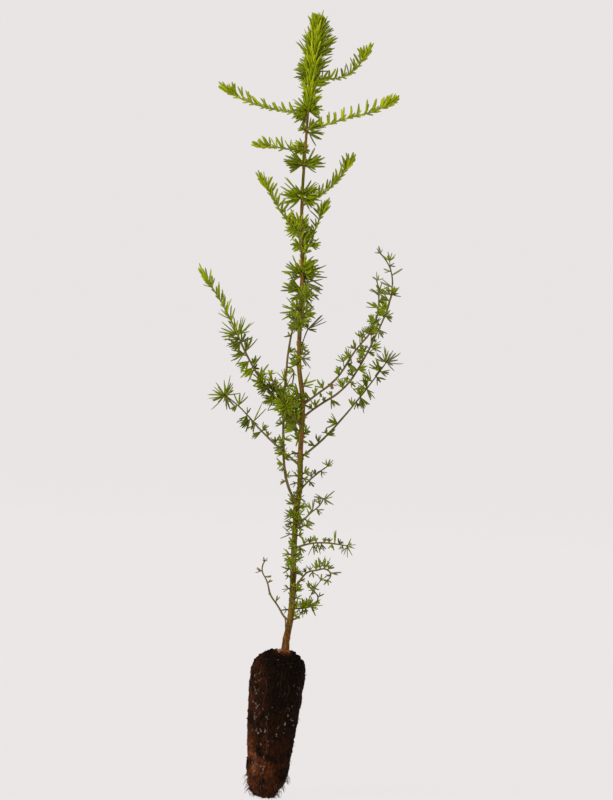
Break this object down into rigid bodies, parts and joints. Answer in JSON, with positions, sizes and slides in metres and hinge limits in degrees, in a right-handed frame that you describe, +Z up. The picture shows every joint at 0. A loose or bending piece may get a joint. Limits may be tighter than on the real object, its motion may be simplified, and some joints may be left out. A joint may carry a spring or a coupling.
{
  "type": "larch sapling with root ball",
  "caption": "Young larch with a slim stem, short side branches in needle tufts and a tapered peat root ball it stands on.",
  "frame": {"origin": "centre of the root ball's flat underside", "axes": "+Z up along the plant, -Y towards the side that the picture shows, +X to that side's right"},
  "size_m": [0.2101, 0.1748, 0.806],
  "materials": {
    "peat": "matt, crumbly, near-black moist peat with fine pale roots",
    "trunk_bark": "satin orange-brown young larch bark with fine fissures and leaf cushions",
    "bough_bark": "matt red-brown twig bark",
    "needles_upper": "soft matt bright yellow-green needles",
    "needles_middle": "soft matt mid green needles",
    "needles_lower": "soft matt dark olive and grey-green needles"
  },
  "bodies": {
    "root": {"bough_lower_back_1": "bough_bark", "bough_lower_front_1": "bough_bark", "bough_lower_front_2": "bough_bark", "bough_lower_left_1": "bough_bark", "bough_lower_right_3": "bough_bark", "bough_lower_right_4": "bough_bark", "bough_lower_right_5": "bough_bark", "bough_middle_back_1": "bough_bark", "bough_middle_back_2": "bough_bark", "bough_middle_front_1": "bough_bark", "bough_middle_front_2": "bough_bark", "bough_middle_left_1": "bough_bark", "bough_middle_left_2": "bough_bark", "bough_middle_right_2": "bough_bark", "bough_middle_right_3": "bough_bark", "bough_middle_right_4": "bough_bark", "bough_upper_back_2": "bough_bark", "bough_upper_left_1": "bough_bark", "bough_upper_left_3": "bough_bark", "bough_upper_right_1": "bough_bark", "bough_upper_right_2": "bough_bark", "bough_upper_right_3": "bough_bark", "leader_mass": "needles_upper", "mass_lower_back_1": "needles_lower", "mass_lower_back_2": "needles_lower", "mass_lower_front_1": "needles_lower", "mass_lower_front_2": "needles_lower", "mass_lower_right_1": "needles_lower", "mass_lower_right_2": "needles_lower", "mass_lower_right_3": "needles_lower", "mass_lower_right_4": "needles_lower", "mass_lower_right_5": "needles_lower", "mass_middle_back_1": "needles_middle", "mass_middle_back_2": "needles_middle", "mass_middle_front_1": "needles_middle", "mass_middle_front_2": "needles_middle", "mass_middle_left_1": "needles_middle", "mass_middle_left_2": "needles_middle", "mass_middle_right_1": "needles_middle", "mass_middle_right_2": "needles_middle", "mass_middle_right_3": "needles_middle", "mass_middle_right_4": "needles_middle", "mass_upper_back_1": "needles_upper", "mass_upper_back_2": "needles_upper", "mass_upper_back_3": "needles_upper", "mass_upper_front_1": "needles_upper", "mass_upper_left_1": "needles_upper", "mass_upper_left_2": "needles_upper", "mass_upper_left_3": "needles_upper", "mass_upper_right_1": "needles_upper", "mass_upper_right_2": "needles_upper", "mass_upper_right_3": "needles_upper", "mass_upper_right_4": "needles_upper", "root_ball": "peat", "trunk": "trunk_bark", "whorl_1_mass": "needles_upper", "whorl_2_mass": "needles_upper", "whorl_3_mass": "needles_upper", "whorl_4_mass": "needles_middle", "whorl_5_mass": "needles_lower"}
  },
  "joints": []
}
